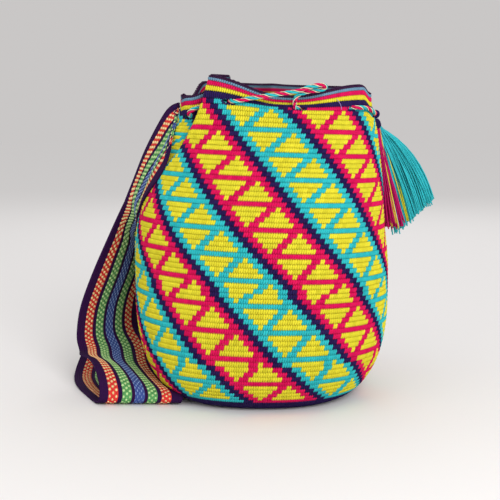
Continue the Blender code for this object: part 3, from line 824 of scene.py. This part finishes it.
def webbing_material():
    """Warp stripes across the strap, with the ribs of the warp and the beat of the weft."""
    material, tree, shader = new_material("strap_webbing", STRAP_YARN["plum"])
    place = new_node(tree, "ShaderNodeTexCoord", {}).outputs["UV"]
    split = new_node(tree, "ShaderNodeSeparateXYZ", {0: place})
    ramp = new_node(tree, "ShaderNodeValToRGB", {0: split.outputs[0]})
    ramp.color_ramp.interpolation = "CONSTANT"
    edge = 0.0
    for k, (name, width) in enumerate(STRIPES):
        element = ramp.color_ramp.elements[k] if k < 2 else ramp.color_ramp.elements.new(edge)
        element.position = edge
        element.color = (*STRAP_YARN[name], 1)
        edge += width / STRIPES_WIDE
    tint = mix_colours(tree, add_noise(tree, 1400), (0.62, 0.62, 0.62), (1.25, 1.25, 1.25))
    colour = mix_colours(tree, 1.0, ramp.outputs[0], tint, "MULTIPLY")
    tree.links.new(colour, shader.inputs["Base Color"])
    ribs = add_wave(tree, "X", WEAVE_SCALE)
    beat = add_wave(tree, "Y", WEAVE_SCALE)
    add_relief(tree, shader, weighted_sum(tree, beat, 0.5, ribs), 0.6, 0.0003)
    return material


# Figured stripes: dot yarn, columns of floats, their pitch along the strap and half width
FIGURES = {
    "orange": ("cream", 3, 0.0026, 0.00150),
    "green": ("pale_green", 3, 0.0026, 0.00150),
    "blue": ("pale_blue", 5, 0.0030, 0.00062),
}
DOT_HALF = 0.66                # half lengths of a pale float and of one in the stripe's yarn, in pitches
FLOAT_HALF = 0.5
DOT_DEEP = 0.00062
FLOAT_DEEP = 0.00036
FLOAT_LOBE = lobe(4, ((0.35, 1.0), (0.65, 1.0)))
FLAT_LOBE = lobe(4, ((0.5, 1.0),))


def add_webbing(grid, normal, along):
    """Strap as a closed band: its middle surface moved out both ways by half the thickness."""
    n, m = grid.shape[:2]
    front = grid + normal * STRAP_THICKNESS / 2
    back = grid - normal * STRAP_THICKNESS / 2
    points = np.concatenate([front.reshape(-1, 3), back.reshape(-1, 3)])
    faces = grid_faces(n, m)
    rim = np.concatenate([np.arange(m), np.arange(1, n) * m + m - 1,
                          (n - 1) * m + np.arange(m - 2, -1, -1), np.arange(n - 2, 0, -1) * m])
    after = np.roll(rim, -1)
    sides = np.stack([rim, rim + n * m, after + n * m, after], -1)
    share = np.tile(np.linspace(0, 1, m), n)
    uv = np.stack([share, np.repeat(along / STRAP_WIDTH, m)], -1)
    turned = np.dot(np.cross(front[1, 1] - front[1, 0], front[2, 0] - front[1, 0]), normal[1, 0]) > 0
    faces = faces if turned else faces[:, ::-1]
    sides = sides if turned else sides[:, ::-1]
    add_mesh("strap_webbing", points, [faces, faces[:, ::-1] + n * m, sides], "shoulder_strap",
             np.concatenate([uv, uv]), material=webbing_material())


def add_floats(strap):
    """Floats of the figured stripes on both faces, pale dots by turns with the stripe's own yarn, as one
    piece for each yarn."""
    floats = {}
    edge = 0.0
    for name, width in STRIPES:
        if name in FIGURES:
            dot, columns, pitch, wide = FIGURES[name]
            rows = int(strap[2][-1] / pitch) - 1
            i, j = np.meshgrid(np.arange(rows), np.arange(columns), indexing="ij")
            length = ((i + 0.5) * pitch).reshape(-1)
            place = ((edge + (j + 0.5) * width / columns) / STRIPES_WIDE).reshape(-1)
            dotted = ((i + j) % 2 == 0).reshape(-1)
            for yarn, picked, half, size in (
                    (dot, dotted, DOT_HALF, (wide, DOT_DEEP)),
                    (name, ~dotted, FLOAT_HALF, (wide * 0.9, FLOAT_DEEP))):
                floats.setdefault(yarn, []).append((length[picked], place[picked], pitch * half, size))
        edge += width
    for yarn, groups in floats.items():
        stitches = [on_both_faces(strap, (length - half, place), (length + half, place), STRAP_THICKNESS / 2)
                    for length, place, half, size in groups]
        starts, ends, outs = joined(stitches)
        shape = FLAT_LOBE if yarn in FIGURES else FLOAT_LOBE
        scatter(f"strap_floats_{yarn}", shape, starts, ends, outs, *groups[-1][3], "shoulder_strap",
                yarn_material(f"strap_{yarn}", STRAP_YARN[yarn]), chance.random(len(starts)))


def add_strap_seams(strap):
    """Rows of crossed stitches that hold both ends of the strap to the bag."""
    share = np.linspace(0.06, 0.94, SEAM_STITCHES)
    stitches = []
    for base, sign in ((SEAM_START, 1), (strap[2][-1] - SEAM_START, -1)):
        for line in SEAM_ROWS:
            near = np.full(SEAM_STITCHES, base + sign * line)
            far = np.full(SEAM_STITCHES, base + sign * (line + SEAM_LENGTH))
            for lean in (SEAM_LEAN, -SEAM_LEAN):
                stitches.append(on_both_faces(strap, (near, share - lean), (far, share + lean),
                                              STRAP_THICKNESS * 0.6))
    starts, ends, outs = joined(stitches)
    scatter("strap_seams", STITCH_LOBE, starts, ends, outs, *SEAM_SIZE, "shoulder_strap",
            YARN_MATERIAL["navy"], chance.random(len(starts)))


# Drawstring: path as in the solid model
CORD_DIAMETER = 0.0044
CORD_CLEARANCE = 0.0007
HOLE_REACH = 0.0055            # how far beside an eyelet's middle the cord meets the wall's faces
RUN_STEP = 0.0135              # between the lacing's points from eyelet to eyelet
INSIDE_WIDEN = 0.9             # as GROUND_WIDEN, for the cord inside the wall
# Loop over the lip: plan angle, drop below the rim's height, distance off the wall
SLACK_LOOP = (
    (7.5, 0.0132, 0.0), (14.0, 0.0095, 0.0), (20.0, 0.0088, 0.0), (23.0, 0.0062, 0.0028),
    (20.0, 0.0036, 0.0056), (14.0, 0.0052, 0.0056), (8.0, 0.0098, 0.0045), (0.0, 0.0123, 0.0020),
    (-6.0, 0.0141, 0.0010), (-12.0, 0.0159, 0.0), (-19.0, 0.0185, 0.0),
)
LOOP_AFTER = 3                 # place of the eyelet from which the loop hangs
CORD_PITCH = 0.0185            # length of one turn of the plies
PLY_UV = 0.01                  # length of a ply for one round of its UV map
CORE_RADIUS = 0.00105          # of the yarn inside the plies and round the knot
KNOT_ANGLE = 92
KNOT_TURNS = 5
KNOT_WOUND = 31.4              # radians over which the winding runs along the cord by KNOT_LENGTH
KNOT_LENGTH = 0.0070
KNOT_RADII = (0.0024, 0.0011)  # of the winding at its ends, and how much wider it is in its middle
KNOT_CORE = 0.0036             # half the length of the knot's solid core
THREAD_RADIUS = 0.00028
THREAD_PLACE = (33, 0.2985)    # plan angle and height from which the loose thread hangs
THREAD_DROP = 0.0125
CREAM = yarn_material("yarn_cream", linear(246, 226, 190))
LILAC = yarn_material("yarn_lilac", linear(176, 150, 214))
# Plies of the cord: yarn, phase in degrees, distance off the cord's middle, radius
PLIES = (("magenta", 0, 0.00112, 0.00114), ("cream", 90, 0.00162, 0.00040),
         ("turquoise", 180, 0.00112, 0.00114), ("cream", 270, 0.00162, 0.00040))

# Tassels: plan angle of the head, distance off the line of the belly, drop below the rim, lean
TASSELS = {
    "magenta": (116, 0.0085, 0.0355, 9),
    "turquoise": (124, 0.0175, 0.0355, 24),
}
TAIL_RISE = 0.0024             # how far a tail rises on its way from the eyelet to its tassel
TAIL_POINTS = (0.25, 0.6)      # shares of that way at which its points stand
HEAD_RADIUS = 0.0050
HEAD_LENGTH = 0.011
HEAD_TURNS = 8                 # of the yarn round a head
HEAD_YARN = 0.00085            # radius of that yarn
SKIRT_START = 0.72             # share of a head's length at which its strands begin
BUNDLE_RADIUS = 0.0030         # of the strands where they begin


def eyelet_frame(angle):
    """Middle of one eyelet in the wall, with the outward and sideways directions there."""
    a, b, here = wall_point([angle - 1.5, angle + 1.5, angle], EYELET_Z, inset=WALL / 2)
    side = Vector(b - a).normalized()
    outward = side.cross(Vector((0, 0, 1))).normalized()
    return Vector(here), outward, side


def tassel_frames():
    """For each tassel: the top of its head and the direction in which it hangs."""
    frames = {}
    belly = BELLY_RADIUS - NECK_RADIUS - NECK_OFFSET
    for name, (angle, out, drop, lean) in TASSELS.items():
        x, y, _ = beside_wall([angle], EYELET_Z, belly + out)[0]
        lean = math.radians(lean)
        frames[name] = Vector((x, y, HEIGHT - drop)), Vector((math.sin(lean), 0, -math.cos(lean)))
    return frames


def lacing():
    """Points of the drawstring: in and out of the eyelets, over the lip and down to the tassels."""
    frames = tassel_frames()
    off = WALL / 2 + RIDGE + CORD_CLEARANCE + CORD_DIAMETER / 2
    inside = off + WALL / 2 + CORD_CLEARANCE
    reach = math.degrees(HOLE_REACH / NECK_RADIUS)
    widen = math.degrees(WALL / NECK_RADIUS) * INSIDE_WIDEN
    points = []
    outside = True
    for k, angle in enumerate(EYELET_ANGLES):
        middle, outward, side = eyelet_frame(angle)
        way = 1 if outside else -1
        front = middle + side * HOLE_REACH * way + outward * off
        back = Vector(wall_point([angle - reach * way], EYELET_Z, inset=inside, widen=widen)[0])
        points += [front, middle, back] if outside else [back, middle, front]
        outside = not outside
        if k == LOOP_AFTER:
            for at, below, out in SLACK_LOOP:
                place = beside_wall([at], EYELET_Z, off - WALL / 2 + out)[0]
                points.append(Vector((place[0], place[1], HEIGHT - below)))
        elif k + 1 < len(EYELET_ANGLES):
            first, last = angle - reach, EYELET_ANGLES[k + 1] + reach
            count = round(math.radians(first - last) * NECK_RADIUS / RUN_STEP)
            for at in np.linspace(first, last, count + 1)[1:-1]:
                if outside:
                    place = beside_wall([at], EYELET_Z, off - WALL / 2)[0]
                else:
                    place = wall_point([at], EYELET_Z, inset=inside, widen=widen)[0]
                points.append(Vector(place))
    tails = []
    for name, start in (("magenta", points[0]), ("turquoise", points[-1])):
        top, down = frames[name]
        last = top - down * GAP
        above = last - down * CORD_DIAMETER
        near, over = [start.lerp(above, share) for share in TAIL_POINTS]
        near.z = start.z + TAIL_RISE
        over.z = max(start.z, above.z) + TAIL_RISE
        tails.append([near, over, above, last])
    return np.array([tuple(p) for p in tails[0][::-1] + points + tails[1]])


def path_frames(points):
    """Two crossing directions along a path, carried along it without twist."""
    tangent = unit(np.gradient(points, axis=0))
    first = unit(np.cross(tangent[0], [0, 0, 1.0]))
    across = [first]
    for k in range(1, len(points)):
        side = across[-1] - tangent[k] * (across[-1] @ tangent[k])
        across.append(side / np.linalg.norm(side))
    across = np.array(across)
    return across, np.cross(tangent, across)


def add_yarn(name, lines, radii, sides, turns, node, shade, material):
    """Yarn along one row of points or several, as closed round tubes in one piece. radii is one for all
    points or one for each of a row. The UV map runs from 0 to turns along each tube, and shade is one
    value for all tubes or one for each."""
    paths = lines.reshape(-1, *lines.shape[-2:])
    count, n = paths.shape[:2]
    radii = np.broadcast_to(radii, (count, n))[:, :, None, None]
    tangent = unit(np.gradient(paths, axis=1))
    helper = np.where(np.abs(tangent[..., 2:3]) > 0.9, [1.0, 0, 0], [0, 0, 1.0])
    across = unit(np.cross(tangent, helper))
    up = np.cross(tangent, across)
    turn = circle(sides)
    rings = paths[:, :, None] + radii * turned(across[:, :, None], up[:, :, None], turn[:, None])
    size = n * sides
    step = (np.arange(count) * size)[:, None, None]
    walls = grid_faces(n, sides, around=True)
    ends = np.stack([np.arange(sides)[::-1], size - sides + np.arange(sides)])
    faces = [(walls[None] + step).reshape(-1, 4), (ends[None] + step).reshape(-1, sides)]
    uv = np.stack([np.tile(turn / 2 / np.pi, n), np.repeat(np.linspace(0, 1, n), sides)], -1)
    uv[:, 1] *= turns
    add_mesh(name, rings.reshape(-1, 3), faces, node, np.tile(uv, (count, 1)),
             {"shade": np.repeat(np.broadcast_to(shade, count), size)}, material)


def add_drawstring():
    """Twisted cord: plies wound round the lacing, p + r (across cos a + up sin a), with a growing along."""
    points = lacing()
    for _ in range(2):
        points[1:-1] = points[1:-1] * 0.9 + (points[:-2] + points[2:]) * 0.05
    path = spline(points, np.linspace(0, len(points) - 1, (len(points) - 1) * 10 + 1))
    along = length_along(path)
    even = np.linspace(0, along[-1], int(along[-1] / 0.0011))
    path = np.stack([np.interp(even, along, path[:, k]) for k in range(3)], -1)
    across, up = path_frames(path)
    turn = even / CORD_PITCH * 2 * np.pi
    for k, (name, phase, reach, radius) in enumerate(PLIES):
        a = (turn + math.radians(phase))[:, None]
        ply = path + reach * turned(across, up, a)
        material = CREAM if name == "cream" else YARN_MATERIAL[name]
        add_yarn(f"drawstring_ply_{k}_{name}", ply, radius, 6, along[-1] / PLY_UV, "drawstring", 0.6, material)
    add_yarn("drawstring_core", path, CORE_RADIUS, 6, 1, "drawstring", 0.6, YARN_MATERIAL["navy"])


def add_knot():
    """Dark knot round the cord at the right side of the neck: a winding over a solid core."""
    _, outward, side = eyelet_frame(KNOT_ANGLE)
    middle = beside_wall(KNOT_ANGLE, EYELET_Z, CORD_DIAMETER / 2 + CORD_CLEARANCE + RIDGE)
    turn = np.linspace(0, 2 * np.pi * KNOT_TURNS, 160)[:, None]
    swell = KNOT_RADII[0] + KNOT_RADII[1] * np.sin(turn / (2 * KNOT_TURNS))
    along, up, out = np.array(side), np.array([0, 0, 1.0]), np.array(outward)
    wound = middle + along * (turn / KNOT_WOUND - 0.5) * KNOT_LENGTH + swell * turned(up, out, turn)
    reach = np.linspace(-1, 1, 11)
    core = middle + along * reach[:, None] * KNOT_CORE
    solid = 0.0006 + 0.0022 * np.sqrt(1 - reach**2)
    add_yarn("cord_knot_winding", wound, CORE_RADIUS, 6, 20, "drawstring", 0.5, YARN_MATERIAL["navy"])
    add_yarn("cord_knot_core", core, solid, 10, 20, "drawstring", 0.5, YARN_MATERIAL["navy"])


def add_loose_thread():
    """Loose pale end of yarn that hangs over the rim at the front."""
    share = np.linspace(0, 1, 10)
    off = 0.0012 + 0.0016 * np.sin(share * np.pi)
    angle, height = THREAD_PLACE
    thread = wall_point(angle + 2 * share, height - THREAD_DROP * share, inset=-off)
    add_yarn("loose_thread", thread, THREAD_RADIUS, 5, 1, "bag_body", 0.5, LILAC)


def tassel_paths(name, count, spread, part):
    """Paths of a tassel's strands. Each runs from the head's foot to its own place at the bottom, at
    start + X (1 + c) t - X c t^2 to the side and Z (1 - c) t + Z c t^2 down, c being its bend."""
    top, down = tassel_frames()[name]
    foot = np.array(top + down * (HEAD_LENGTH * SKIRT_START))
    t = np.linspace(0, 1, 9)[None]
    low, high, front = part
    s = low + (high - low) * chance.random(count)
    r = np.sqrt(chance.random(count))
    a = chance.random(count) * 2 * np.pi
    (x0, x1), (z0, z1), bend, depth = spread
    side = x0 + (x1 - x0) * s + chance.normal(0, 0.0012, count)
    drop = z0 + (z1 - z0) * s + chance.normal(0, 0.0022, count)
    c = (bend * s)[:, None]
    start = np.stack([np.cos(a) * r * BUNDLE_RADIUS, np.sin(a) * r * BUNDLE_RADIUS, 0 * a], -1)
    x = side[:, None] * ((1 + c) * t - c * t**2)
    z = -drop[:, None] * ((1 - c) * t + c * t**2)
    wave = chance.normal(0, 0.0007, (count, 1))
    beats = 4 + 5 * chance.random((count, 1))
    wave = wave * np.sin(t * beats + 6 * s[:, None])
    way = np.where(front, -1.0, 2 * chance.random(count) - 1)
    y = (depth * way * np.sqrt(1 - (2 * s - 1) ** 2 * 0.7))[:, None] * t ** 0.8 + wave
    return foot + start[:, None] * (1 - t[..., None] * 0.3) + np.stack([x + wave, y, z], -1)


# Strands of each tassel: reach to the side and down at both ends of the fan, bend, half depth
TASSEL_SPREAD = {
    "magenta": ((0.0045, 0.0290), (0.1010, 0.1010), 0.0, 0.0095),
    "turquoise": ((0.0215, 0.0590), (0.1110, 0.0760), 0.42, 0.0115),
}
STRANDS = {"magenta": 250, "turquoise": 340}
STRAND_RADIUS = 0.00058
# Both tassel colours are raised over the yarn's own tone: painted light that offsets the shade among the close
# strands
TASSEL_YARN = {"magenta": yarn_material("tassel_magenta", linear(200, 8, 104)),
               "turquoise": yarn_material("tassel_turquoise", linear(58, 206, 216))}


def add_strands(name, spread):
    """Strands of one tassel, with the few of another yarn among them."""
    groups = [(name, STRANDS[name], TASSEL_YARN[name], (0.0, 1.0, False))]
    if name == "magenta":
        groups.append(("yellow", 5, YARN_MATERIAL["yellow"], (0.42, 0.72, True)))
        groups.append(("lilac", 2, LILAC, (0.76, 0.96, True)))
    else:
        groups.append(("yellow", 2, YARN_MATERIAL["yellow"], (0.25, 0.45, True)))
    for part, count, material, place in groups:
        paths = tassel_paths(name, count, spread, place)
        radii = STRAND_RADIUS * np.linspace(1.0, 1.15, paths.shape[1])
        add_yarn(f"tassel_{name}_{part}", paths, radii, 4, 9, f"tassel_skirt_{name}", chance.random(count),
                 material)


def half_round(share):
    """Height of a half circle over shares of its width, 1 at its middle."""
    return np.sqrt(np.clip(1 - (2 * share - 1) ** 2, 0, 1))


def add_head(name):
    """Bound head of one tassel: yarn wound round a solid core, both swelling about as a half circle does."""
    top, down = [np.array(v) for v in tassel_frames()[name]]
    across = unit(np.cross(down, [0, 1.0, 0]))
    depth = np.cross(down, across)
    share = np.linspace(0, 1, 220)
    swell = half_round(share)
    radius = 0.0012 + (HEAD_RADIUS - 0.0020) * swell ** 0.8
    turn = share * 2 * np.pi * HEAD_TURNS
    middle = top + down * (0.0006 + share[:, None] * (HEAD_LENGTH - 0.0012))
    winding = middle + radius[:, None] * turned(across, depth, turn[:, None])
    share = np.linspace(0, 1, 12)
    core = top + down * np.linspace(0.0004, HEAD_LENGTH, 12)[:, None]
    thick = 0.0012 + (HEAD_RADIUS - 0.0028) * half_round(share)
    for part, line, radii, sides, tone in (
            ("winding", winding, HEAD_YARN, 6, 0.5), ("core", core, thick, 14, 0.4)):
        add_yarn(f"tassel_{name}_{part}", line, radii, sides, 30, f"tassel_head_{name}", tone,
                 YARN_MATERIAL["navy"])


add_ground()
add_stitches()
add_rim_edge()
add_eyelet_rings()
strap = strap_surface()
add_webbing(*strap)
add_floats(strap)
add_strap_seams(strap)
add_drawstring()
add_knot()
add_loose_thread()
for tassel, fan in TASSEL_SPREAD.items():
    add_strands(tassel, fan)
    add_head(tassel)


# Camera, lamps and floor

LENS = 75.6                    # millimetres
SENSOR = 36
CAMERA_PLACE = (-0.0115, -1.05, 0.279)
CAMERA_DROP = 7.4              # degrees by which it looks down
LAMP_TARGET = (0, 0, 0.15)

FLOOR_COLOUR = linear(242, 239, 238)
WORLD_STRENGTH = 0.66


def add_camera():
    """Camera a little above the rim, looking slightly down."""
    data = bpy.data.cameras.new("camera")
    data.lens, data.sensor_width = LENS, SENSOR
    camera = new_object("camera", data)
    camera.location = CAMERA_PLACE
    camera.rotation_euler = (math.radians(90 - CAMERA_DROP), 0, 0)
    bpy.context.scene.camera = camera


def add_lamp(name, place, size, power):
    """Soft square lamp aimed at the middle of the bag."""
    data = bpy.data.lights.new(name, "AREA")
    data.size, data.energy = size, power
    lamp = new_object(name, data)
    lamp.location = place
    lamp.rotation_euler = (Vector(LAMP_TARGET) - Vector(place)).to_track_quat("-Z", "Y").to_euler()


def add_floor():
    """Plain pale floor that reaches past the view on all sides."""
    corners = [(-6, -3, 0), (6, -3, 0), (6, 9, 0), (-6, 9, 0)]
    mesh = bpy.data.meshes.new("floor")
    mesh.from_pydata(corners, [], [(0, 1, 2, 3)])
    material, _, shader = new_material("floor", FLOOR_COLOUR)
    shader.inputs["Specular IOR Level"].default_value = 0.0
    mesh.materials.append(material)
    floor = new_object("floor", mesh)


def add_world():
    """Even pale light all round; behind the floor the camera sees the tone of the floor itself."""
    world = bpy.data.worlds.new("studio")
    world.use_nodes = True
    tree = world.node_tree
    light = tree.nodes["Background"]
    light.inputs["Color"].default_value = (1, 1, 1, 1)
    light.inputs["Strength"].default_value = WORLD_STRENGTH
    seen = new_node(tree, "ShaderNodeBackground", {"Color": FLOOR_COLOUR, "Strength": WORLD_STRENGTH})
    path = new_node(tree, "ShaderNodeLightPath", {})
    mix = new_node(tree, "ShaderNodeMixShader", {0: path.outputs["Is Camera Ray"], 1: light.outputs[0],
                                                 2: seen.outputs[0]})
    tree.links.new(mix.outputs[0], tree.nodes["World Output"].inputs["Surface"])
    bpy.context.scene.world = world


add_camera()
add_lamp("key_lamp", (0.55, -1.6, 1.0), 0.8, 21)
add_lamp("fill_lamp", (-1.2, -1.2, 0.8), 1.2, 3)
add_lamp("back_lamp", (0.2, 1.6, 1.4), 1.2, 5)
add_world()
add_floor()
bpy.context.scene.view_settings.view_transform = "Standard"
